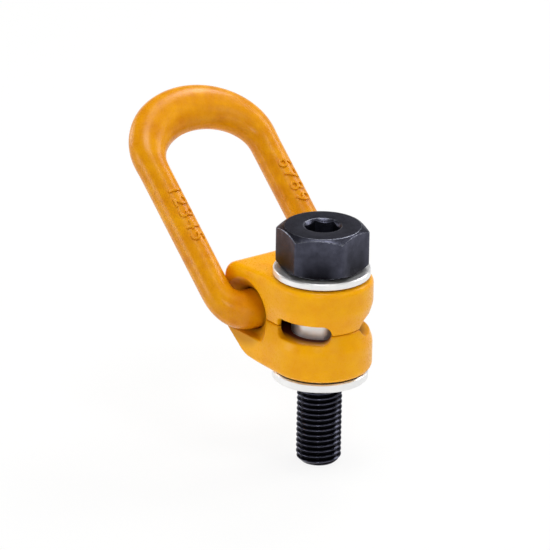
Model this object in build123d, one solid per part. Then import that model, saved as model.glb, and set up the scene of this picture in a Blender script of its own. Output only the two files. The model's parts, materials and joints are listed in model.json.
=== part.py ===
from build123d import *
import math
import os

# Side-pull swivel hoist ring for an M20 tapped hole. Millimetres, +Z up along the bolt.
# The origin is the centre of the seat: the underside of the bush's flange, which bears on the load.
# The link's cross bar lies along Y in the plane where the two body halves meet, on the -X side.

# Bolt
thread_diameter = 20.0
thread_length = 40.0
thread_tip_chamfer = 2.2
thread_pitch = 2.5
thread_depth = 1.35
thread_crest = 0.31
thread_flank_slope = 30.0
first_groove_depth = 1.5
shank_relief = 0.3
head_across_flats = 36.0
head_height = 19.4
head_turn = 18.5
head_chamfer_width = 3.9
head_chamfer_slope = 30.0
socket_across_flats = 14.0
socket_depth = 11.0
socket_floor_slope = 18.0
socket_chamfer = 0.8

# Bush, washers and the ring that keeps the bolt in
shaft_clearance = 0.05
face_clearance = 0.05
bush_wall = 2.95
flange_ledge = 8.2
flange_thickness = 4.0
neck_wall = 2.0
washer_ledge = 8.5
washer_thickness = 3.2
washer_cover = 1.0
washer_clearance = 0.15
slip_washer_inset = 1.1
slip_washer_thickness = 0.6
ring_section_width = 2.3
ring_thickness = 1.2
ring_groove_depth = 1.0
ring_side_clearance = 0.1
ring_recess_depth = 2.8
ring_gap_angle = 24.0
small_edge = 0.5

# Body halves
body_height = 43.0
body_wall = 9.8
web_thickness = 5.85
nose_wall = 5.5
seam_inset = 3.0
upper_taper_height = 10.0
lower_taper_height = 8.0
brow_start = -12.0
brow_drop = 1.5
brow_radius = 8.0
chin_slope = 35.0
chin_drop = 1.7
chin_radius = 12.0
belly_start = -10.0
seam_gap = 0.3
window_height = 9.0
window_lift = 0.5
window_start_angle = -104.0
window_end_angle = -23.0
relief_clearance = 1.6
relief_wall = 1.8
relief_to_bar = 2.2
mouth_depth = 6.5
mouth_growth = 7.6
mouth_shift = 2.7
mouth_floor_clearance = 0.8
forging_edge = 3.0
draft_edge = 8.0

# Dowels across the seam
dowel_diameter = 2.5
dowel_length = 10.0
dowel_turn = 11.0
dowel_end_clearance = 0.5
dowel_chamfer = 0.4

# Link
bar_diameter = 18.0
bar_clearance = 0.1
leg_diameter = 14.0
leg_length = 66.2
leg_side_clearance = 0.4
bend_inner_radius = 2.0
bend_sections = 6
crown_rise = 23.6
crown_extra_depth = 3.9
crown_extra_thickness = 0.6
crown_swell_power = 0.8
crown_sections = 17
link_tilt = 41.0

# Limits for telling edges apart, and the turn from a hexagon's flat to its corner
same_height = 0.01
nearly_along = 0.9
flat_to_corner = 30.0

# Radii and distances that follow
bolt_radius = thread_diameter / 2
shank_radius = bolt_radius - shank_relief
bush_bore_radius = bolt_radius + shaft_clearance
bush_radius = bush_bore_radius + bush_wall
neck_radius = bush_bore_radius + neck_wall
flange_radius = bush_radius + flange_ledge
washer_radius = bush_radius + washer_ledge
slip_washer_radius = flange_radius - slip_washer_inset
groove_radius = bolt_radius - ring_groove_depth
head_corner_radius = head_across_flats / 2 / math.cos(math.radians(flat_to_corner))
bar_radius = bar_diameter / 2
bar_bore_radius = bar_radius + bar_clearance
body_radius = bush_radius + body_wall
pivot_distance = bush_radius + shaft_clearance + web_thickness + bar_bore_radius
nose_radius = bar_bore_radius + nose_wall
lobe_reach = pivot_distance + nose_radius
leg_radius = leg_diameter / 2
leg_offset = body_radius + leg_side_clearance + leg_radius
bend_radius = bar_radius + bend_inner_radius
leg_reach = bend_radius + leg_length

# Heights that follow
body_bottom = flange_thickness + slip_washer_thickness + face_clearance
seam_height = body_bottom + body_height / 2
body_top = body_bottom + body_height
washer_bottom = body_top + face_clearance + slip_washer_thickness
head_bottom = washer_bottom + washer_thickness
head_top = head_bottom + head_height


def ring(outer_radius, inner_radius, bottom, top):
    """A plain ring about the bolt axis between two heights."""
    return disc(outer_radius, bottom, top) - disc(inner_radius, bottom, top)


def disc(radius, bottom, top):
    """A plain cylinder about the bolt axis between two heights."""
    return Pos(0, 0, (bottom + top) / 2) * Cylinder(radius, top - bottom)


def cone(bottom_radius, top_radius, bottom, top):
    """A cut-off cone about the bolt axis between two heights."""
    return Pos(0, 0, (bottom + top) / 2) * Cone(bottom_radius, top_radius, top - bottom)


def hexagon(across_flats, bottom, top):
    """A hexagon prism about the bolt axis, its flats turned by the head's angle."""
    turn = head_turn - flat_to_corner
    outline = RegularPolygon(across_flats / 2, 6, major_radius=False, rotation=turn)
    return Pos(0, 0, bottom) * extrude(outline, top - bottom)


def hex_head():
    """Hexagon head, chamfered at its top and bottom corners."""
    outer = head_corner_radius + small_edge
    inner = head_corner_radius - head_chamfer_width
    drop = (outer - inner) * math.tan(math.radians(head_chamfer_slope))
    envelope = cone(inner, outer, head_bottom, head_bottom + drop)
    envelope += disc(outer, head_bottom + drop, head_top - drop)
    envelope += cone(outer, inner, head_top - drop, head_top)
    return hexagon(head_across_flats, head_bottom, head_top) & envelope


def hex_socket():
    """The key's socket: a hexagon with a drilled floor and a chamfered mouth."""
    radius = socket_across_flats / 2
    floor = head_top - socket_depth
    floor_drop = radius * math.tan(math.radians(socket_floor_slope))
    mouth = radius / math.cos(math.radians(flat_to_corner)) + socket_chamfer / 2
    socket = hexagon(socket_across_flats, floor, head_top)
    socket += cone(small_edge, radius, floor - floor_drop, floor)
    return socket + cone(mouth - socket_chamfer, mouth, head_top - socket_chamfer, head_top)


def thread_groove():
    """One turn of the thread as a closed ring groove, narrower at its root than at the crests."""
    half_mouth = (thread_pitch - thread_crest) / 2
    flank = math.tan(math.radians(thread_flank_slope))
    half_root = half_mouth - thread_depth * flank
    half_outside = half_mouth + small_edge * flank
    root = bolt_radius - thread_depth
    outside = bolt_radius + small_edge
    section = make_face(
        Polyline(
            (root, half_root),
            (outside, half_outside),
            (outside, -half_outside),
            (root, -half_root),
            close=True,
        )
    )
    return revolve(Plane.XZ * section, Axis.Z)


def thread_grooves():
    """The thread's turns, a pitch apart, from just under the seat to the tip's chamfer."""
    room = thread_length - thread_tip_chamfer - first_groove_depth - thread_pitch / 2
    turns = 1 + int(room / thread_pitch)
    return [Pos(0, 0, -first_groove_depth - turn * thread_pitch) * thread_groove() for turn in range(turns)]


def hex_bolt():
    """Hexagon bolt: head with its socket, slimmer shank, ring groove and threaded end."""
    tip = -thread_length
    half_groove = ring_thickness / 2 + ring_side_clearance
    middle = ring_recess_depth / 2
    shank = disc(shank_radius, middle + half_groove, head_bottom)
    shank += disc(groove_radius, middle - half_groove, middle + half_groove)
    shank += disc(bolt_radius, tip + thread_tip_chamfer, middle - half_groove)
    shank += cone(bolt_radius - thread_tip_chamfer, bolt_radius, tip, tip + thread_tip_chamfer)
    return hex_head() + shank - thread_grooves() - hex_socket()


def bolt_retaining_ring():
    """Snap ring that sits in the bolt's groove and stops it leaving the bush."""
    bottom = ring_recess_depth / 2 - ring_thickness / 2
    outer_radius = groove_radius + ring_section_width
    whole = ring(outer_radius, groove_radius, bottom, bottom + ring_thickness)
    gap_width = groove_radius * math.radians(ring_gap_angle)
    gap = Box(outer_radius, gap_width, 2 * ring_thickness)
    return whole - Pos(outer_radius, 0, bottom) * gap


def flanged_bush():
    """Turned bush: seat flange, sleeve that the body turns on, and a neck for the top washer."""
    bush = disc(flange_radius, 0, flange_thickness)
    bush = chamfer(bush.edges(), small_edge)
    bush += disc(bush_radius, flange_thickness, washer_bottom)
    bush += disc(neck_radius, washer_bottom, head_bottom - washer_cover)
    bush -= disc(bush_bore_radius, 0, head_bottom)
    recess_radius = groove_radius + ring_section_width + small_edge
    return bush - disc(recess_radius, 0, ring_recess_depth)


def top_washer():
    """Hard washer under the bolt head, pressed on the bush's neck."""
    washer = chamfer(disc(washer_radius, washer_bottom, head_bottom).edges(), small_edge)
    washer -= disc(neck_radius, washer_bottom, head_bottom - washer_cover)
    return washer - disc(bolt_radius + washer_clearance, washer_bottom, head_bottom)


def slip_washer(bottom):
    """Thin washer that the body slides on."""
    inner_radius = bush_radius + shaft_clearance
    return ring(slip_washer_radius, inner_radius, bottom, bottom + slip_washer_thickness)


def plan_outline(inset):
    """The body seen from above: a round front about the bolt and a lobe round the bar."""
    radius = body_radius - inset
    return Circle(radius) + Pos(-lobe_reach / 2, 0) * Rectangle(lobe_reach, 2 * radius)


def side_outline():
    """The body seen from the side: flat top, round nose about the bar, sloping chin and flat belly."""
    half = body_height / 2
    nose_round = nose_radius - seam_gap
    nose_foot = nose_radius * math.tan(math.radians(90 - chin_slope) / 2)
    chin_length = (half - chin_drop - nose_foot) / math.tan(math.radians(chin_slope))
    outline = make_face(
        Polyline(
            (body_radius, half),
            (brow_start, half),
            (-lobe_reach, half - brow_drop),
            (-lobe_reach, -nose_foot),
            (chin_length - lobe_reach, chin_drop - half),
            (belly_start, -half),
            (body_radius, -half),
            close=True,
        )
    )
    outline = round_corner(outline, (-lobe_reach, half), brow_radius)
    outline = round_corner(outline, (chin_length - lobe_reach, -half), chin_radius)
    return round_corner(outline, (-lobe_reach, -nose_foot), nose_round)


def round_corner(outline, place, radius):
    """The outline with the corner nearest to this place rounded."""
    corner = outline.vertices().sort_by_distance(place)[0]
    return fillet(corner, radius)


def mouth():
    """The flare at the +Y end of the bar's way: it clears the link's bend and widens towards the bolt."""
    throat_plane = Plane(origin=(0, body_radius - mouth_depth, 0), z_dir=(0, 1, 0))
    rim_plane = Plane(origin=(mouth_shift, body_radius + small_edge, 0), z_dir=(0, 1, 0))
    rim = rim_plane * Circle(bar_bore_radius + mouth_growth)
    flare = loft([(throat_plane * Circle(bar_bore_radius)).face(), rim.face()], ruled=True)
    return flare + extrude(rim, mouth_depth)


def bar_way(upper):
    """The round way for the cross bar with its two mouths, which the lower half has only above its floor."""
    mouths = mouth() + mirror(mouth(), Plane.XZ)
    if not upper:
        floor = bar_bore_radius + mouth_floor_clearance
        mouths &= Pos(0, 0, body_height - floor) * Box(4 * body_radius, 4 * body_radius, 2 * body_height)
    way = mouths + Rot(90, 0, 0) * Cylinder(bar_bore_radius, 4 * body_radius)
    return Pos(-pivot_distance, 0, seam_height) * way


def window(flip):
    """One window between the halves, with round ends, from beside the bar to the front land."""
    middle = seam_height + window_lift
    end_radius = window_height / 2
    end_turn = math.degrees(end_radius / (body_radius - seam_inset))
    start = window_start_angle + end_turn
    end = window_end_angle - end_turn
    reach = 2 * body_radius
    section = Pos(reach / 2, middle) * Rectangle(reach, window_height)
    cut = Rot(0, 0, start) * revolve(Plane.XZ * section, Axis.Z, end - start)
    drill = Pos(reach / 2, 0, middle) * Rot(0, 90, 0) * Cylinder(end_radius, reach)
    cut += Rot(0, 0, start) * drill
    cut += Rot(0, 0, end) * drill
    return mirror(cut, Plane.XZ) if flip else cut


def dowel_places():
    """Both dowels stand in the land in front of the bush, midway through its wall."""
    middle = (bush_radius + relief_clearance + body_radius - seam_inset) / 2
    return [Rot(0, 0, turn) * Pos(middle, 0, seam_height) for turn in (-dowel_turn, dowel_turn)]


def locating_dowels():
    """Two plain dowels that line up the halves."""
    dowel = chamfer(Cylinder(dowel_diameter / 2, dowel_length).edges(), dowel_chamfer)
    return Compound([place * dowel for place in dowel_places()])


def forged_blank(upper):
    """One half before machining: drafted towards the seam, with its edges rounded by the die."""
    turn = 1 if upper else -1
    taper_height = upper_taper_height if upper else lower_taper_height
    wide_plane = Pos(0, 0, turn * taper_height)
    blank = loft([plan_outline(seam_inset).face(), wide_plane * plan_outline(0).face()], ruled=True)
    blank += wide_plane * extrude(plan_outline(0), turn * (body_height / 2 - taper_height))
    blank = fillet([edge for edge in blank.edges() if is_level(edge, taper_height)], draft_edge)
    side = extrude(Plane.XZ * side_outline(), 2 * body_radius, both=True)
    if upper:
        blank &= side
        blank = fillet([edge for edge in blank.edges() if is_top_rim(edge)], forging_edge)
    else:
        blank = fillet([edge for edge in blank.edges() if is_level(edge, body_height / 2)], forging_edge)
        blank &= side
    return Pos(0, 0, seam_height) * blank


def is_level(edge, distance):
    """True for the level edges at this distance from the seam, apart from the one across the nose."""
    middle = edge @ 0.5
    at_distance = abs(abs(middle.Z) - distance) < same_height
    across_nose = distance > upper_taper_height and middle.X < small_edge - lobe_reach
    return at_distance and abs((edge % 0.5).Z) < same_height and not across_nose


def is_top_rim(edge):
    """True for the sharp edges round the top and down the nose of the upper half."""
    middle = edge @ 0.5
    along = edge % 0.5
    across = abs(along.Y) > nearly_along and middle.X < body_radius / 2
    upright = edge.geom_type == GeomType.LINE and abs(along.Z) > nearly_along
    return middle.Z > upper_taper_height + draft_edge / 2 and not across and not upright


def relief():
    """The hollow between the halves round the bush, open to the windows and closed by the lands."""
    round_relief = Cylinder(bush_radius + relief_clearance, window_height)
    start = bar_bore_radius + relief_to_bar - pivot_distance
    width = 2 * (body_radius - seam_inset - relief_wall)
    square_relief = Pos(start / 2, 0) * Box(-start, width, window_height)
    return Pos(0, 0, seam_height + window_lift) * (round_relief + square_relief)


def body_half(upper):
    """One forged half of the body, bored for the bush and the bar and cut for windows and dowels."""
    half = forged_blank(upper)
    half -= disc(bush_radius + shaft_clearance, 0, body_top + small_edge)
    half -= relief()
    half -= bar_way(upper)
    half -= window(False)
    half -= window(True)
    half -= Pos(0, 0, seam_height) * Box(4 * body_radius, 4 * body_radius, seam_gap)
    for place in dowel_places():
        half -= place * Cylinder(dowel_diameter / 2, dowel_length + 2 * dowel_end_clearance)
    return half


def link_section(middle, along, half_width, half_thickness):
    """An ellipse square to the link's centre line, wide in the link's own plane."""
    plane = Plane(origin=middle, x_dir=(0, 0, 1), z_dir=along)
    return plane * Ellipse(half_thickness, half_width).face()


def crown():
    """The far end of the link: half an ellipse that swells from the legs to the middle."""
    sections = []
    for step in range(crown_sections):
        turn = math.pi * step / (crown_sections - 1)
        middle = (-leg_reach - crown_rise * math.sin(turn), -leg_offset * math.cos(turn), 0)
        along = (-crown_rise * math.cos(turn), leg_offset * math.sin(turn), 0)
        swell = math.sin(turn) ** crown_swell_power if 0 < step < crown_sections - 1 else 0
        half_width = leg_radius + crown_extra_depth * swell
        half_thickness = leg_radius + crown_extra_thickness * swell
        sections.append(link_section(middle, along, half_width, half_thickness))
    return loft(sections)


def bend():
    """A quarter bend that thins from the cross bar to one leg, on the +Y side."""
    straight = leg_offset - bend_radius
    sections = []
    for step in range(bend_sections):
        turn = math.pi / 2 * step / (bend_sections - 1)
        middle = (bend_radius * math.cos(turn) - bend_radius, straight + bend_radius * math.sin(turn), 0)
        along = (-math.sin(turn), math.cos(turn), 0)
        thinning = (1 - math.cos(2 * turn)) / 2
        radius = bar_radius + (leg_radius - bar_radius) * thinning
        sections.append(link_section(middle, along, radius, radius))
    return loft(sections)


def leg():
    """One straight leg between its bend and the crown, on the +Y side."""
    middle = -bend_radius - leg_length / 2
    return Pos(middle, leg_offset, 0) * Rot(0, 90, 0) * Cylinder(leg_radius, leg_length)


def lifting_link():
    """Closed forged link: thick cross bar in the body, two bends, two legs and a deep crown."""
    side = bend() + leg()
    flat_link = Rot(90, 0, 0) * Cylinder(bar_radius, 2 * (leg_offset - bend_radius))
    flat_link += side + mirror(side, Plane.XZ) + crown()
    return Pos(-pivot_distance, 0, seam_height) * Rot(0, link_tilt, 0) * flat_link


def all_pieces():
    """Every piece by its name, in the order in which they are put together."""
    return {
        "flanged_bush": flanged_bush(),
        "lower_slip_washer": slip_washer(flange_thickness),
        "lower_body_half": body_half(False),
        "locating_dowels": locating_dowels(),
        "lifting_link": lifting_link(),
        "upper_body_half": body_half(True),
        "upper_slip_washer": slip_washer(washer_bottom - slip_washer_thickness),
        "top_washer": top_washer(),
        "hex_bolt": hex_bolt(),
        "bolt_retaining_ring": bolt_retaining_ring(),
    }


os.makedirs("parts", exist_ok=True)
for name, piece in all_pieces().items():
    export_step(piece, f"parts/{name}.step")
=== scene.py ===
import json
import math

import bmesh
import bpy
import numpy as np
from mathutils import Matrix, Vector


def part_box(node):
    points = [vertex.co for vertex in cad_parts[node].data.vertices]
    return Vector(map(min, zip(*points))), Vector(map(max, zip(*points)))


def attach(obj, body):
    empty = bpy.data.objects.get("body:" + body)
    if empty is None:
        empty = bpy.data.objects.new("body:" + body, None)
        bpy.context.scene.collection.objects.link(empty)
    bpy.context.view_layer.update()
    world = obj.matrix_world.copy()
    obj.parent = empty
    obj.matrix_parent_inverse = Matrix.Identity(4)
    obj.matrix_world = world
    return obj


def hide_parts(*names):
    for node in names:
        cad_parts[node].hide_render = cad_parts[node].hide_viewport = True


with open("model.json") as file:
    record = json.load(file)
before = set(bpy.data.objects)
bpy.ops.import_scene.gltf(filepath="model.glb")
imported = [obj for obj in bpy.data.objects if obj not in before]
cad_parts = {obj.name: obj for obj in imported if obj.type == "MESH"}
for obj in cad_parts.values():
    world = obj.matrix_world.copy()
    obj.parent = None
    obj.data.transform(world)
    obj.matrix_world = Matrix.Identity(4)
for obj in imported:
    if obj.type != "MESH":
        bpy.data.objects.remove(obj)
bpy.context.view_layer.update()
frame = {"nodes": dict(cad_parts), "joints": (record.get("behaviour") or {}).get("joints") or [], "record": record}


# FLANGED BUSH. The turned steel sleeve that the body swivels on, with the flange that seats on the load.
# Zinc-plated free-cutting steel, turned from bar in a lathe, then barrel-plated: bright, with fine
# turning lines that follow its round faces.

mm = 0.001


def linear(colour):
    """An sRGB hex colour as linear red, green and blue with an alpha of 1. Each byte is divided by 255.
    Where it is dark the result is divided by 12.92, and elsewhere 0.055 is added, the sum is divided by
    1.055 and raised to the power 2.4."""
    value = np.array([int(colour[place:place + 2], 16) for place in (1, 3, 5)]) / 255
    curve = np.where(value <= 0.04045, value / 12.92, ((value + 0.055) / 1.055) ** 2.4)
    return tuple(float(part) for part in curve) + (1.0,)


def new_material(name):
    """A material with only its Principled shader and its output, and the shader itself."""
    material = bpy.data.materials.new(name)
    material.use_nodes = True
    return material, material.node_tree.nodes["Principled BSDF"]


def add(material, kind, settings, links=None):
    """Adds one shader node. Each setting goes to the node's property of that name, or to its input
    socket, and each link joins an input to (node, output)."""
    made = material.node_tree.nodes.new(kind)
    for name, value in settings.items():
        if isinstance(name, str) and hasattr(made, name):
            setattr(made, name, value)
        else:
            made.inputs[name].default_value = value
    for name, (source, output) in (links or {}).items():
        material.node_tree.links.new(source.outputs[output], made.inputs[name])
    return made


def join(material, source, output, target, name):
    """Links one node's output to another node's input."""
    material.node_tree.links.new(source.outputs[output], target.inputs[name])


def zinc_plate():
    """Zinc plate over turned steel. It gives the eye a pale silver sheen, broken by lathe lines along
    the round faces, with slightly duller patches where the plating drained. Real lathe lines are too
    fine to show, so these are drawn coarser."""
    lathe_line = 0.3 * mm
    patch = 5.0 * mm
    material, shader = new_material("zinc-plated turned steel")
    shader.inputs["Metallic"].default_value = 0.85
    place = add(material, "ShaderNodeTexCoord", {})
    flat = add(material, "ShaderNodeVectorMath", {"operation": "MULTIPLY", 1: (1, 1, 0)},
               {0: (place, "Object")})
    radius = add(material, "ShaderNodeVectorMath", {"operation": "LENGTH"}, {0: (flat, 0)})
    split = add(material, "ShaderNodeSeparateXYZ", {}, {0: (place, "Object")})
    along = add(material, "ShaderNodeMath", {"operation": "ADD"}, {0: (radius, "Value"), 1: (split, "Z")})
    lines = add(material, "ShaderNodeTexNoise",
                {"noise_dimensions": "1D", "Scale": 1 / lathe_line, "Detail": 2.0}, {"W": (along, 0)})
    patches = add(material, "ShaderNodeTexNoise", {"Scale": 1 / patch, "Detail": 3.0},
                  {"Vector": (place, "Object")})
    tone = add(material, "ShaderNodeMix",
               {"data_type": "RGBA", 6: linear("#E4E5E6"), 7: linear("#F8F7F5")}, {0: (patches, 0)})
    dull = add(material, "ShaderNodeMapRange",
               {"From Min": 0.3, "From Max": 0.7, "To Min": 0.3, "To Max": 0.44}, {"Value": (patches, 0)})
    bump = add(material, "ShaderNodeBump", {"Strength": 0.3, "Distance": 0.01 * mm}, {"Height": (lines, 0)})
    join(material, tone, 2, shader, "Base Color")
    join(material, dull, 0, shader, "Roughness")
    join(material, bump, 0, shader, "Normal")
    return material


def dress(name, material):
    """Gives a carried-over node this material in place of its plain one."""
    node = frame["nodes"][name]
    node.data.materials.clear()
    node.data.materials.append(material)


zinc = zinc_plate()
dress("flanged_bush", zinc)


# LOWER SLIP WASHER. The thin washer that the body slides on, above the flange.
# Oil-filled black acetal, stamped from sheet and laid over the bush.


def black_acetal():
    """Black acetal sheet. It gives the eye a near-black satin rim with a faint mottle."""
    mottle = 0.6 * mm
    material, shader = new_material("black acetal sheet")
    shader.inputs["Specular IOR Level"].default_value = 0.15
    place = add(material, "ShaderNodeTexCoord", {})
    grain = add(material, "ShaderNodeTexNoise", {"Scale": 1 / mottle, "Detail": 2.0},
                {"Vector": (place, "Object")})
    tone = add(material, "ShaderNodeMix",
               {"data_type": "RGBA", 6: linear("#050505"), 7: linear("#0E0D0C")}, {0: (grain, 0)})
    rough = add(material, "ShaderNodeMapRange", {"To Min": 0.4, "To Max": 0.6}, {"Value": (grain, 0)})
    join(material, tone, 2, shader, "Base Color")
    join(material, rough, 0, shader, "Roughness")
    return material


acetal = black_acetal()
dress("lower_slip_washer", acetal)


# LOWER BODY HALF. The lower of the two drop-forged halves that clamp round the link's bar.
# Alloy steel, forged, bored for the bush and the bar, and painted golden yellow after machining.
# The die leaves drafted sides and soft edges, which the paint rounds a little more.


def enamel(name, low, high, shine):
    """Stoved enamel sprayed on a shot-blasted forging. It gives the eye a deep golden yellow with a soft
    gloss, broken by orange peel about a millimetre across and by the slow waves of the forging under it,
    which shade it from the low colour to the high. Where a point's recess mark is high, a dark red-brown
    is mixed in and the gloss made matt: painted shade in the deep recesses and round the mouths.
    The shine is how strongly it mirrors."""
    peel = 0.9 * mm
    wave = 7.0 * mm
    material, shader = new_material(name)
    shader.inputs["IOR"].default_value = 1.5
    shader.inputs["Specular IOR Level"].default_value = shine
    place = add(material, "ShaderNodeTexCoord", {})
    waves = add(material, "ShaderNodeTexNoise", {"Scale": 1 / wave, "Detail": 3.0, "Roughness": 0.55},
                {"Vector": (place, "Object")})
    fine = add(material, "ShaderNodeTexNoise", {"Scale": 1 / peel, "Detail": 2.0},
               {"Vector": (place, "Object")})
    spread = add(material, "ShaderNodeMapRange", {"From Min": 0.3, "From Max": 0.7},
                 {"Value": (waves, 0)})
    coat = add(material, "ShaderNodeMix", {"data_type": "RGBA", 6: linear(low), 7: linear(high)},
               {0: (spread, 0)})
    # Painted shade: a dark red-brown, mixed in by the recess mark, that darkens the mouths and the window.
    recess_shade_read = add(material, "ShaderNodeAttribute", {"attribute_name": "recess_shade"})
    tone = add(material, "ShaderNodeMix", {"data_type": "RGBA", 7: linear("#4E1400")},
               {0: (recess_shade_read, "Fac"), 6: (coat, 2)})
    gloss = add(material, "ShaderNodeMapRange",
                {"From Min": 0.3, "From Max": 0.7, "To Min": 0.24, "To Max": 0.34}, {"Value": (fine, 0)})
    matt = add(material, "ShaderNodeMix", {"data_type": "FLOAT", 3: 0.8},
               {0: (recess_shade_read, "Fac"), 2: (gloss, 0)})
    swell = add(material, "ShaderNodeBump", {"Strength": 0.5, "Distance": 0.25 * mm},
                {"Height": (waves, 0)})
    bump = add(material, "ShaderNodeBump", {"Strength": 0.35, "Distance": 0.018 * mm},
               {"Height": (fine, 0), "Normal": (swell, 0)})
    join(material, tone, 2, shader, "Base Color")
    join(material, matt, 0, shader, "Roughness")
    join(material, bump, 0, shader, "Normal")
    return material


link_joint = next(joint for joint in frame["joints"] if joint["name"] == "link_pivot")
pivot = np.array(link_joint["pos_m"])
body_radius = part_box("upper_body_half")[1].x
web_front = -15.0 * mm
mouth_radius = 13.3 * mm
window_half = 5.0 * mm
window_lift = 0.5 * mm
# Where the painted shade starts and fades inside the mouths and the window, and its band round each mouth.
shade_start = 3.0 * mm
shade_fade = 4.5 * mm
mouth_edge = 4.0 * mm
mouth_edge_shade = 0.35


def recess_shade(points):
    """How much painted shade each point of a half takes. It grows with the distance inside the body's plan,
    which is a circle in front of the bolt's axis and straight sides behind it, and it counts only on
    the walls of the mouths round the bar and of the window in front of the bush. Round each mouth's
    edge, beside the link, a fainter band of painted shade fades away from the bar."""
    x, y, z = points.T
    plan = np.where(x > 0, np.hypot(x, y), np.abs(y))
    inside = np.clip((body_radius - plan - shade_start) / shade_fade, 0, 1)
    from_bar = np.hypot(x - pivot[0], z - pivot[2])
    in_mouth = from_bar < mouth_radius
    in_window = (x > web_front) & (np.abs(z - pivot[2] - window_lift) < window_half)
    near_mouth = mouth_edge_shade * np.clip((mouth_radius + mouth_edge - from_bar) / mouth_edge, 0, 1)
    return np.maximum(np.where(in_mouth | in_window, inside, 0), near_mouth)


def mark(mesh, name, values):
    """Stores one number for each point of a mesh, for its material to read."""
    attribute = mesh.attributes.new(name, "FLOAT", "POINT")
    attribute.data.foreach_set("value", np.asarray(values, np.float32))


def place_of(mesh):
    """The places of a mesh's points, one row each."""
    flat = np.empty(len(mesh.vertices) * 3)
    mesh.vertices.foreach_get("co", flat)
    return flat.reshape(-1, 3)


def put(name, data):
    """An object made of a mesh, curve, lamp or camera, placed in the scene."""
    made = bpy.data.objects.new(name, data)
    bpy.context.scene.collection.objects.link(made)
    return made


def cast_skin(piece, square, passes, material):
    """Wraps a piece in an even skin of small squares and smooths it: each smoothing pass moves a point
    halfway to the middle of its neighbours. It gives back the piece's new mesh."""
    wrap = piece.modifiers.new("skin", "REMESH")
    wrap.mode = "VOXEL"
    wrap.voxel_size = square
    soften = piece.modifiers.new("soften", "SMOOTH")
    soften.factor = 0.5
    soften.iterations = passes
    shown = piece.evaluated_get(bpy.context.evaluated_depsgraph_get())
    finished = bpy.data.meshes.new_from_object(shown)
    piece.modifiers.clear()
    piece.data = finished
    finished.polygons.foreach_set("use_smooth", np.ones(len(finished.polygons), bool))
    finished.materials.clear()
    finished.materials.append(material)
    return finished


def painted_forging(node_name, material):
    """A copy of a machined half with its doubles merged and its edges softened by a new skin, which is
    marked with how much painted shade each point takes in the recesses."""
    square = 0.4 * mm
    passes = 7
    same_place = 0.001 * mm
    piece = put(node_name.replace("half", "forging"), frame["nodes"][node_name].data.copy())
    merged = bmesh.new()
    merged.from_mesh(piece.data)
    bmesh.ops.remove_doubles(merged, verts=merged.verts, dist=same_place)
    merged.to_mesh(piece.data)
    merged.free()
    finished = cast_skin(piece, square, passes, material)
    # Each point is marked with its share of painted shade.
    mark(finished, "recess_shade", recess_shade(place_of(finished)))
    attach(piece, "swivel_body")
    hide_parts(node_name)


body_paint = enamel("golden yellow enamel on the body", "#F2A200", "#FAB200", 0.18)
painted_forging("lower_body_half", body_paint)


# LOCATING DOWELS. Two plain pins in the land in front of the bush that line the halves up.
# Hardened steel, ground to size and pressed into reamed holes.


def ground_steel():
    """Ground dowel steel. It gives the eye a grey satin mirror with short fine scratches round the pin,
    drawn coarser than a grinding wheel leaves them."""
    scratch = 0.05 * mm
    material, shader = new_material("ground hardened steel")
    shader.inputs["Metallic"].default_value = 1.0
    shader.inputs["Base Color"].default_value = linear("#B4B6B8")
    place = add(material, "ShaderNodeTexCoord", {})
    stretch = add(material, "ShaderNodeMapping", {"vector_type": "POINT", "Scale": (0.1, 0.1, 1.0)},
                  {"Vector": (place, "Object")})
    marks = add(material, "ShaderNodeTexNoise", {"Scale": 1 / scratch, "Detail": 1.0},
                {"Vector": (stretch, 0)})
    rough = add(material, "ShaderNodeMapRange", {"To Min": 0.18, "To Max": 0.34}, {"Value": (marks, 0)})
    join(material, rough, 0, shader, "Roughness")
    return material


dress("locating_dowels", ground_steel())


# LIFTING LINK. The closed link that the hook pulls on: a thick cross bar inside the body, two legs,
# and a deep crown. Alloy steel, drop forged in one piece with its flash trimmed, and painted yellow.

hook_seat = next(mount for mount in frame["record"]["mounts"] if mount["name"] == "hook_seat")
link_tilt = math.atan2(-hook_seat["axis"][2], hook_seat["axis"][0])
bar_radius = 9.0 * mm
leg_radius = 7.0 * mm
leg_offset = 30.2 * mm
bend_radius = 11.0 * mm
leg_reach = 77.2 * mm
crown_rise = 23.6 * mm
crown_extra_depth = 3.9 * mm
crown_extra_thickness = 0.6 * mm
crown_swell_power = 0.8
flash_height = 0.12 * mm
flash_width = 0.7 * mm


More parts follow.
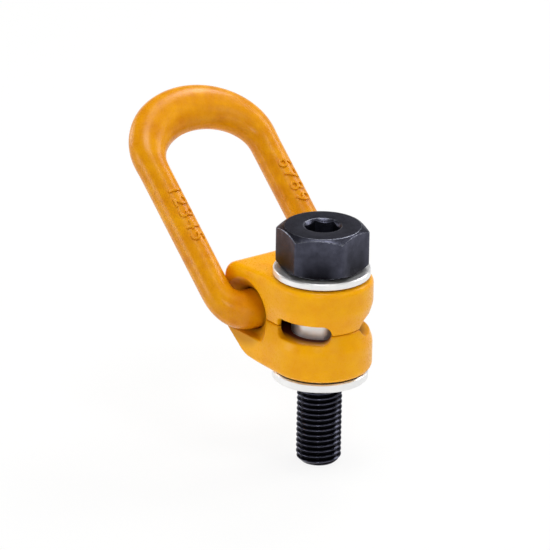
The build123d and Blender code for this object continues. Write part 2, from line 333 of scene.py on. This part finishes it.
def link_line(spacing, softening):
    """The link's centre line in its own flat plane, with its half widths and half thicknesses.
    Half of it is a straight, a quarter circle, a straight and a quarter ellipse, and the other half is
    its mirror image. Round the quarter circle the bar thins to the leg by the squared sine of the turn,
    and the crown swells by the turn's sine to a power. The line is read off at even distances, and each
    value is averaged with its neighbours by a bell curve, so that no run ends at a kink."""
    quarter_points = 60
    turn = np.linspace(0, math.pi / 2, quarter_points)[1:]
    straight = leg_offset - bend_radius
    thinning = (1 - np.cos(2 * turn)) / 2
    swell = np.sin(turn) ** crown_swell_power
    bar = np.array([[0, 0], [0, straight]])
    bar = np.column_stack([bar, [bar_radius] * 2, [bar_radius] * 2])
    thin = bar_radius + (leg_radius - bar_radius) * thinning
    bend = np.column_stack([
        bend_radius * (np.cos(turn) - 1),
        straight + bend_radius * np.sin(turn),
        thin,
        thin,
    ])
    crown = np.column_stack([
        -leg_reach - crown_rise * np.sin(turn),
        leg_offset * np.cos(turn),
        leg_radius + crown_extra_depth * swell,
        leg_radius + crown_extra_thickness * swell,
    ])
    leg_end = np.array([[-leg_reach, leg_offset, leg_radius, leg_radius]])
    half = np.vstack([bar, bend, leg_end, crown])
    other = half[::-1][1:] * (1, -1, 1, 1)
    whole = np.vstack([half, other])
    steps = np.linalg.norm(np.diff(whole[:, :2], axis=0), axis=1)
    distance = np.concatenate([[0], np.cumsum(steps)])
    count = int(distance[-1] / spacing)
    even = np.linspace(0, distance[-1], count, endpoint=False)
    line = np.column_stack([np.interp(even, distance, whole[:, place]) for place in range(4)])
    gap = np.minimum(even, distance[-1] - even)
    bell = np.exp(-((gap / softening) ** 2) / 2)
    bell /= bell.sum()
    spectrum = np.fft.fft(line, axis=0) * np.fft.fft(bell)[:, None]
    return np.real(np.fft.ifft(spectrum, axis=0))


def stand_up(flat):
    """Points in the link's flat plane, turned about the bar's axis to the angle it stands at and moved
    to the pivot."""
    turned = np.stack([
        flat[..., 0] * math.cos(link_tilt) + flat[..., 2] * math.sin(link_tilt),
        flat[..., 1],
        -flat[..., 0] * math.sin(link_tilt) + flat[..., 2] * math.cos(link_tilt),
    ], axis=-1)
    return turned + pivot


def surface(name, points, closed_along=False):
    """A smooth piece over a grid of points, rows by columns. The columns always close into rings. The
    rows close into a loop, or else the first and last rows are each drawn in to one point."""
    rows, columns = points.shape[:2]
    index = np.arange(rows * columns).reshape(rows, columns)
    across = np.roll(index, -1, axis=1)
    below = np.roll(index, -1, axis=0)
    corner = np.roll(across, -1, axis=0)
    quads = np.stack([index, across, corner, below], axis=-1)
    quads = quads if closed_along else quads[:-1]
    faces = quads.reshape(-1, 4).tolist()
    vertices = points.reshape(-1, 3)
    if not closed_along:
        vertices = np.vstack([vertices, points[0].mean(axis=0), points[-1].mean(axis=0)])
        first = rows * columns
        start = np.stack([np.full(columns, first), across[0], index[0]], axis=-1)
        end = np.stack([np.full(columns, first + 1), index[-1], across[-1]], axis=-1)
        faces += start.tolist() + end.tolist()
    mesh = bpy.data.meshes.new(name)
    mesh.from_pydata(vertices.tolist(), [], faces)
    mesh.polygons.foreach_set("use_smooth", np.ones(len(faces), bool))
    return put(name, mesh)


def forged_link(columns):
    """The link's skin: an ellipse square to the centre line at each place, drawn in by the flash's
    height, with a low ridge of a bell's shape left where the flash was trimmed at the die's parting."""
    row_spacing = 0.45 * mm
    softening = 2.2 * mm
    line = link_line(row_spacing, softening)
    middle = line[:, :2]
    along = np.roll(middle, -1, axis=0) - np.roll(middle, 1, axis=0)
    along /= np.linalg.norm(along, axis=1)[:, None]
    outward = np.column_stack([along[:, 1], -along[:, 0]])
    turn = np.linspace(0, 2 * math.pi, columns, endpoint=False)
    half_width = line[:, 2, None] - flash_height
    half_thickness = line[:, 3, None] - flash_height
    height = half_thickness * np.sin(turn)
    ridge = flash_height * np.exp(-((height / flash_width) ** 2)) * np.sign(np.cos(turn))
    reach = half_width * np.cos(turn) + ridge
    flat = np.stack([
        middle[:, 0, None] + outward[:, 0, None] * reach,
        middle[:, 1, None] + outward[:, 1, None] * reach,
        height,
    ], axis=-1)
    return surface("lifting_link_forging", stand_up(flat), closed_along=True)


# The link's enamel is darker than the body's: painted shade for the dimmer light that reaches the link.
link_paint = enamel("golden yellow enamel on the link", "#D48200", "#E99E04", 0.22)
link = forged_link(96)
link.data.materials.append(link_paint)
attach(link, "link")
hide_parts("lifting_link")


# RAISED NUMBERS. The plain figures along the upper side of each leg.
# They are sunk in the forging die, so they stand up from the same steel and wear the same paint.


def raised_numbers(name, figures, side, middle):
    """Figures as a solid of even squares, smoothed like a forging and wrapped on a leg. The way along
    the line of figures runs down the leg, their height becomes an angle round it, and their thickness
    adds to its radius. The side is 1 or -1, and the middle is the line's middle from the pivot."""
    figure_size = 9.6 * mm
    figure_spacing = 1.24
    stroke_growth = 0.12 * mm
    relief = 0.55 * mm
    sunk = 0.5 * mm
    square = 0.16 * mm
    passes = 3
    text = bpy.data.curves.new(name, "FONT")
    text.body = figures
    text.size = figure_size
    text.align_x = "CENTER"
    text.align_y = "CENTER"
    text.space_character = figure_spacing
    text.offset = stroke_growth
    text.extrude = (relief + sunk) / 2
    lettering = put(name, text)
    shown = lettering.evaluated_get(bpy.context.evaluated_depsgraph_get())
    solid = bpy.data.meshes.new_from_object(shown)
    bpy.data.objects.remove(lettering)
    piece = put(name, solid)
    finished = cast_skin(piece, square, passes, link_paint)
    flat = place_of(finished)
    angle = flat[:, 1] / leg_radius
    reach = leg_radius + (relief - sunk) / 2 + flat[:, 2]
    wrapped = np.column_stack([
        flat[:, 0] - middle,
        side * leg_offset + reach * np.sin(angle),
        reach * np.cos(angle),
    ])
    finished.vertices.foreach_set("co", stand_up(wrapped).ravel())
    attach(piece, "link")


raised_numbers("near_leg_numbers", "12345", -1, 49.0 * mm)
raised_numbers("far_leg_numbers", "6789", 1, 52.0 * mm)


# UPPER BODY HALF. It closes over the bar and the bush, and carries the slip washer under the top washer.
# The same forging steel, machining and paint as the lower half.

painted_forging("upper_body_half", body_paint)


# UPPER SLIP WASHER AND TOP WASHER. The slip washer is black acetal like the lower one. The top washer
# is hard steel, turned, zinc-plated and pressed on the bush's neck, where the bolt's head clamps it.

dress("upper_slip_washer", acetal)
dress("top_washer", zinc)


# HEXAGON BOLT. The M20 bolt that holds the hoist ring down, with a 14 mm key socket in its 36 mm head.
# Alloy steel, hot forged, thread rolled, and black phosphated and oiled: dark blue-grey, with paler
# steel where spanners have rubbed its edges.

bolt_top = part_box("hex_bolt")[1].z
bolt_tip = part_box("hex_bolt")[0].z
head_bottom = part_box("top_washer")[1].z
thread = next(mount for mount in frame["record"]["mounts"] if mount["name"] == "thread")
bolt_radius = thread["dims"]["r_mm"] * mm
shank_relief = 0.3 * mm
shank_radius = bolt_radius - shank_relief
head_turn = math.radians(18.5)
head_flat = 18.0 * mm
head_corner_power = 70.0
head_chamfer_width = 3.9 * mm
head_chamfer_slope = math.radians(30)
rim_radius = head_flat / math.cos(math.pi / 6) - head_chamfer_width
socket_flat = 7.0 * mm
socket_depth = 11.0 * mm
socket_floor_slope = math.radians(18)
socket_mouth = 8.5 * mm
groove_radius = 9.0 * mm
groove_middle = 1.4 * mm
groove_half = 0.7 * mm
thread_pitch = 2.5 * mm
thread_depth = 1.35 * mm
thread_start = -0.6 * mm
tip_chamfer = 2.2 * mm


def hexagon_radius(turn, flat):
    """How far a rounded hexagon reaches at each angle: its flat's distance divided by the cosines to its
    three pairs of flats, raised to a high power, added and brought back by the same root. A higher
    power gives a sharper corner."""
    cosines = np.abs([np.cos(turn - head_turn - step * math.pi / 3) for step in range(3)])
    return flat / (cosines ** head_corner_power).sum(axis=0) ** (1 / head_corner_power)


def eased(corners, cut, steps):
    """A profile through corners, each worn round: the corner gives way to a curve that leaves one side
    a cut's length before it and joins the next side as far after it, blended from the three points by
    (1-t) squared, 2t(1-t) and t squared. The cut never takes more than a share of the shorter side."""
    most_share = 0.4
    before = corners[:-2] - corners[1:-1]
    after = corners[2:] - corners[1:-1]
    length_before = np.linalg.norm(before, axis=-1, keepdims=True)
    length_after = np.linalg.norm(after, axis=-1, keepdims=True)
    reach = np.minimum(cut, most_share * np.minimum(length_before, length_after))
    start = corners[1:-1] + before / length_before * reach
    end = corners[1:-1] + after / length_after * reach
    blend = np.linspace(0, 1, steps)[:, None, None]
    curves = start[:, None] * (1 - blend) ** 2 + corners[1:-1, None] * 2 * blend * (1 - blend)
    curves = curves + end[:, None] * blend ** 2
    curves = curves.reshape(-1, *corners.shape[1:])
    return np.concatenate([corners[:1], curves, corners[-1:]])


def head_profile(turn):
    """Radius and height down the head at each angle, from the socket's floor over the rim to the
    bearing face. Flats meet the 30 degree chamfers where the hexagon's reach meets each cone."""
    drill_tip = 0.5 * mm
    floor_radius = 0.96 * socket_flat
    hidden_shank = 2 * mm
    edge_cut = 0.45 * mm
    edge_steps = 5
    reach = hexagon_radius(turn, head_flat)
    key = hexagon_radius(turn, socket_flat)
    drop = (reach - rim_radius) * math.tan(head_chamfer_slope)
    floor = bolt_top - socket_depth
    level = np.ones_like(turn)
    places = [
        (drill_tip * level, (floor - (socket_flat - drill_tip) * math.tan(socket_floor_slope)) * level),
        (floor_radius * level, floor * level),
        (key, floor * level),
        (key, bolt_top - (socket_mouth - key)),
        (socket_mouth * level, bolt_top * level),
        (rim_radius * level, bolt_top * level),
        (reach, bolt_top - drop),
        (reach, head_bottom + drop),
        (rim_radius * level, head_bottom * level),
        (shank_radius * level, head_bottom * level),
        (shank_radius * level, (head_bottom - hidden_shank) * level),
    ]
    return eased(np.array(places).transpose(0, 2, 1), edge_cut, edge_steps)


def shank_profile(turn):
    """Radius and height down the shank at each angle: plain, then the snap ring's groove, then the
    thread. The thread's depth follows the height in pitches less the turn, which makes it right-handed,
    with flats at crest and root and straight flanks between. It is averaged over nearby heights, which
    rounds its edges. It runs out over one pitch at the top, and a cone cuts its first turns."""
    rows_per_pitch = 16
    softness = 1 / 16
    blur_steps = 9
    crest_half = 1 / 16
    flank = 0.353
    groove = [
        (shank_radius, groove_middle + groove_half),
        (groove_radius, groove_middle + groove_half),
        (groove_radius, groove_middle - groove_half),
        (bolt_radius, groove_middle - groove_half),
        (bolt_radius, thread_start),
    ]
    groove = np.array(groove)[:, None] * np.ones((1, len(turn), 1))
    rows = int((thread_start - bolt_tip) / (thread_pitch / rows_per_pitch))
    height = np.linspace(thread_start, bolt_tip, rows)[1:, None] * np.ones((1, len(turn)))
    blur = np.linspace(-1, 1, blur_steps)[:, None, None] * softness
    phase = height / thread_pitch - turn / (2 * math.pi) + blur
    from_crest = np.abs((phase + 0.5) % 1 - 0.5)
    cut = np.clip((from_crest - crest_half) / flank, 0, 1).mean(axis=0)
    fade = np.clip((thread_start - height) / thread_pitch, 0, 1)
    radius = bolt_radius - thread_depth * cut * fade
    cone = bolt_radius - tip_chamfer + (height - bolt_tip)
    radius = np.minimum(radius, cone)
    return np.concatenate([groove, np.stack([radius, height], axis=-1)])


def black_phosphate():
    """Oiled black phosphate over forged steel. It gives the eye a blue-black satin skin, grained by its
    crystals and mottled in wider patches, that is rubbed to grey steel along its edges. Painted shade
    darkens it towards black in the thread's roots, at the head's foot and, more faintly, over its top.
    The rolled thread is smoother and shines more. Real crystals are too fine to show, so these are far coarser."""
    crystal = 0.4 * mm
    scuff = 1.3 * mm
    patch = 4.0 * mm
    material, shader = new_material("black phosphated steel")
    shader.inputs["Metallic"].default_value = 0.95
    shader.inputs["Specular Tint"].default_value = linear("#DCDCE0")
    place = add(material, "ShaderNodeTexCoord", {})
    worn = add(material, "ShaderNodeAttribute", {"attribute_name": "wear"})
    crystals = add(material, "ShaderNodeTexNoise", {"Scale": 1 / crystal, "Detail": 3.0},
                   {"Vector": (place, "Object")})
    patches = add(material, "ShaderNodeTexNoise", {"Scale": 1 / patch, "Detail": 4.0},
                  {"Vector": (place, "Object")})
    scuffs = add(material, "ShaderNodeTexNoise", {"Scale": 1 / scuff, "Detail": 3.0},
                 {"Vector": (place, "Object")})
    spread = add(material, "ShaderNodeMapRange", {"From Min": 0.35, "From Max": 0.65},
                 {"Value": (patches, 0)})
    skin = add(material, "ShaderNodeMix",
               {"data_type": "RGBA", 6: linear("#40414D"), 7: linear("#50515F")}, {0: (spread, 0)})
    rubbed = add(material, "ShaderNodeMath", {"operation": "MULTIPLY"},
                 {0: (worn, "Fac"), 1: (scuffs, 0)})
    share = add(material, "ShaderNodeMapRange", {"From Min": 0.3, "From Max": 0.8}, {"Value": (rubbed, 0)})
    # Painted shade: the skin is darkened towards black where the shade mark is high.
    bolt_shade_read = add(material, "ShaderNodeAttribute", {"attribute_name": "bolt_shade"})
    shaded_skin = add(material, "ShaderNodeMix", {"data_type": "RGBA", 7: linear("#08070B")},
                 {0: (bolt_shade_read, "Fac"), 6: (skin, 2)})
    tone = add(material, "ShaderNodeMix", {"data_type": "RGBA", 7: linear("#8C8F98")},
               {0: (share, 0), 6: (shaded_skin, 2)})
    grainy = add(material, "ShaderNodeMapRange",
                 {"From Min": 0.3, "From Max": 0.7, "To Min": 0.26, "To Max": 0.38},
                 {"Value": (crystals, 0)})
    rolled = add(material, "ShaderNodeAttribute", {"attribute_name": "rolled"})
    rough = add(material, "ShaderNodeMix", {"data_type": "FLOAT", 3: 0.18},
                {0: (rolled, "Fac"), 2: (grainy, 0)})
    bump = add(material, "ShaderNodeBump", {"Strength": 0.25, "Distance": 0.008 * mm},
               {"Height": (crystals, 0)})
    join(material, tone, 2, shader, "Base Color")
    join(material, rough, 0, shader, "Roughness")
    join(material, bump, 0, shader, "Normal")
    return material


def turned_bolt(columns):
    """The whole bolt as one skin, its profile carried round the axis. Each point is marked with its wear:
    full on the edges between flats and chamfers and on the two rims of the top, from which it falls off
    by a bell curve, and less at the corners between flats. It is also marked with its painted shade,
    which is full at the thread's roots and at the head's foot, fading up the flats, and fainter over the
    top face. The thread is marked as rolled, because the dies leave it smoother than the forged head."""
    corner_wear = 0.7
    corner_start = 1.12
    corner_width = 0.03
    edge_width = 0.35 * mm
    rim_width = 0.4 * mm
    top_band = 0.5 * mm
    outer_share = 0.98
    # The painted shade's strength in the roots, its reach up the flats from the head's foot, and its share on the
    # top.
    root_shade_gain = 1.4
    foot_shade_height = 3.2 * mm
    foot_shade_fade = 0.6 * foot_shade_height
    below_head = 1.0 * mm
    top_shade = 0.4
    turn = np.linspace(0, 2 * math.pi, columns, endpoint=False)
    profile = np.concatenate([head_profile(turn), shank_profile(turn)])
    radius = profile[..., 0]
    height = profile[..., 1]
    points = np.stack([radius * np.cos(turn), radius * np.sin(turn), height], axis=-1)
    piece = surface("phosphated_hex_bolt", points)
    reach = hexagon_radius(turn, head_flat)
    drop = (reach - rim_radius) * math.tan(head_chamfer_slope)
    corner = corner_wear * np.clip((reach / head_flat - corner_start) / corner_width, 0, 1)
    edge_gap = np.minimum(np.abs(height - bolt_top + drop), np.abs(height - head_bottom - drop))
    edge = np.exp(-((edge_gap / edge_width) ** 2))
    outside = (radius > outer_share * reach) & (height > head_bottom)
    on_top = height > bolt_top - top_band
    rim_gap = np.minimum(np.abs(radius - rim_radius), np.abs(radius - socket_mouth))
    rim = np.exp(-((rim_gap / rim_width) ** 2)) * on_top
    wear = np.maximum(np.where(outside, np.maximum(corner, edge), 0), rim)
    mark(piece.data, "wear", np.append(wear.ravel(), (0, 0)))
    in_thread = height < thread_start
    deep = np.clip(root_shade_gain * (bolt_radius - radius) / thread_depth, 0, 1)
    deep = np.where(in_thread, deep, 0)
    foot = np.clip((head_bottom + foot_shade_height - height) / foot_shade_fade, 0, 1)
    foot = np.where(height > head_bottom - below_head, foot, 0)
    top_darkening = np.where(on_top & (radius > socket_mouth), top_shade, 0)
    bolt_shade = np.maximum(np.maximum(foot, deep), top_darkening)
    # Each point is marked with its painted shade.
    mark(piece.data, "bolt_shade", np.append(bolt_shade.ravel(), (0, 1)))
    mark(piece.data, "rolled", np.append(in_thread, (0, 0)))
    return piece


bolt = turned_bolt(240)
bolt.data.materials.append(black_phosphate())
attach(bolt, "bolt")
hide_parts("hex_bolt")


# BOLT RETAINING RING. The open snap ring in the bolt's groove that keeps the bolt in the bush.
# Spring steel wire, rolled flat, cut and blued, sprung over the bolt from below.


def blued_spring_steel():
    """Blued spring steel. It gives the eye a dark blue satin, finely mottled with straw brown."""
    mottle = 0.3 * mm
    material, shader = new_material("blued spring steel")
    shader.inputs["Metallic"].default_value = 1.0
    place = add(material, "ShaderNodeTexCoord", {})
    grain = add(material, "ShaderNodeTexNoise", {"Scale": 1 / mottle, "Detail": 2.0},
                {"Vector": (place, "Object")})
    tone = add(material, "ShaderNodeMix",
               {"data_type": "RGBA", 6: linear("#3A3E4A"), 7: linear("#5A5650")}, {0: (grain, 0)})
    rough = add(material, "ShaderNodeMapRange", {"To Min": 0.25, "To Max": 0.45}, {"Value": (grain, 0)})
    join(material, tone, 2, shader, "Base Color")
    join(material, rough, 0, shader, "Roughness")
    return material


dress("bolt_retaining_ring", blued_spring_steel())


# STUDIO. A plain white floor under the bolt's tip, a backdrop that is white near the horizon and dark
# above it, nine soft boxes round and over the object, and a camera with a long lens that looks 22
# degrees down. The dark above gives the gloss and the metals something to mirror beside the boxes.

floor_half = 3.0
floor_mesh = bpy.data.meshes.new("studio_floor")
floor_corners = [
    (-floor_half, -floor_half, bolt_tip),
    (floor_half, -floor_half, bolt_tip),
    (floor_half, floor_half, bolt_tip),
    (-floor_half, floor_half, bolt_tip),
]
floor_mesh.from_pydata(floor_corners, [], [(0, 1, 2, 3)])
floor = put("studio_floor", floor_mesh)


def seen_ray(material):
    """One where a ray comes straight from the camera, off a gloss or through glass, and otherwise nought."""
    path = add(material, "ShaderNodeLightPath", {})
    either = add(material, "ShaderNodeMath", {"operation": "MAXIMUM"},
                 {0: (path, "Is Camera Ray"), 1: (path, "Is Transmission Ray")})
    return add(material, "ShaderNodeMath", {"operation": "MAXIMUM"},
               {0: (either, 0), 1: (path, "Is Glossy Ray")})


def studio_white():
    """Matt white card. It gives the eye a white ground on which only the object's own shadow shows. To
    the rays that are seen, a share of it shines by itself, and the rest takes the light and shadow."""
    shining_share = 0.88
    material, shader = new_material("matt white card")
    shader.inputs["Base Color"].default_value = linear("#F4F4F2")
    shader.inputs["Roughness"].default_value = 0.9
    shine = add(material, "ShaderNodeEmission", {"Color": (1, 1, 1, 1), "Strength": 1.0})
    share = add(material, "ShaderNodeMath", {"operation": "MULTIPLY", 1: shining_share},
                {0: (seen_ray(material), 0)})
    both = add(material, "ShaderNodeMixShader", {}, {0: (share, 0), 1: (shader, 0), 2: (shine, 0)})
    join(material, both, 0, material.node_tree.nodes["Material Output"], "Surface")
    return material


floor_mesh.materials.append(studio_white())

world = bpy.data.worlds.new("pale studio")
bpy.context.scene.world = world
world.use_nodes = True
ground = world.node_tree.nodes["Background"]
direction = add(world, "ShaderNodeTexCoord", {})
rise = add(world, "ShaderNodeSeparateXYZ", {}, {0: (direction, "Generated")})
backdrop = add(world, "ShaderNodeMapRange",
               {"From Min": 0.1, "From Max": 0.3, "To Min": 1.0, "To Max": 0.12}, {"Value": (rise, "Z")})
strength = add(world, "ShaderNodeMapRange", {"To Min": 0.15},
               {"Value": (seen_ray(world), 0), "To Max": (backdrop, 0)})
join(world, strength, 0, ground, "Strength")
ground.inputs["Color"].default_value = (1, 1, 1, 1)

azimuth = math.radians(53.46)
elevation = math.radians(22.0)
roll = math.radians(1.0)
frame_width = 241.23 * mm
camera_distance = 3.6
sensor = 36.0
aim_right = -20.18 * mm
aim_up = 19.74 * mm

to_camera = Vector((
    math.sin(azimuth) * math.cos(elevation),
    -math.cos(azimuth) * math.cos(elevation),
    math.sin(elevation),
))
camera_right = Vector((math.cos(azimuth), math.sin(azimuth), 0))
camera_up = to_camera.cross(camera_right)
turned = Matrix((camera_right, camera_up, to_camera)).transposed() @ Matrix.Rotation(roll, 3, "Z")
aim = Vector((0, 0, link_joint["pos_m"][2])) + turned @ Vector((aim_right, aim_up, 0))
lens = bpy.data.cameras.new("long lens")
lens.sensor_width = sensor
lens.lens = sensor * camera_distance / frame_width
lens.clip_end = 20
camera = put("camera", lens)
camera.matrix_world = Matrix.Translation(aim + to_camera * camera_distance) @ turned.to_4x4()
bpy.context.scene.camera = camera


def soft_box(name, side, height, distance, size, power):
    """A square lamp that faces the link's pivot from a distance, at a bearing and a height in degrees
    that count as the camera's do."""
    lamp = bpy.data.lights.new(name, "AREA")
    lamp.size = size
    lamp.energy = power
    bearing = math.radians(side)
    rise = math.radians(height)
    toward = Vector((
        math.sin(bearing) * math.cos(rise),
        -math.cos(bearing) * math.cos(rise),
        math.sin(rise),
    ))
    placed = put(name, lamp)
    placed.location = Vector(pivot) + toward * distance
    placed.rotation_euler = toward.to_track_quat("Z", "Y").to_euler()


soft_box("left soft box", -20, 10, 1.3, 0.5, 3.5)
soft_box("far left soft box", 290, 15, 1.3, 0.5, 3.3)
soft_box("far right soft box", 172, 36, 1.3, 0.5, 3.8)
soft_box("back soft box", 212, 48, 1.3, 0.4, 4.5)
soft_box("high back soft box", 230, 66, 1.3, 0.5, 2.0)
soft_box("right soft box", 110, 40, 1.3, 0.5, 1.6)
soft_box("low right soft box", 85, 15, 1.3, 0.5, 1.3)
soft_box("overhead soft box", 60, 85, 1.3, 0.5, 7.2)
soft_box("front soft box", 48, 28, 1.6, 0.25, 3.8)

scene = bpy.context.scene
scene.view_settings.view_transform = "Standard"
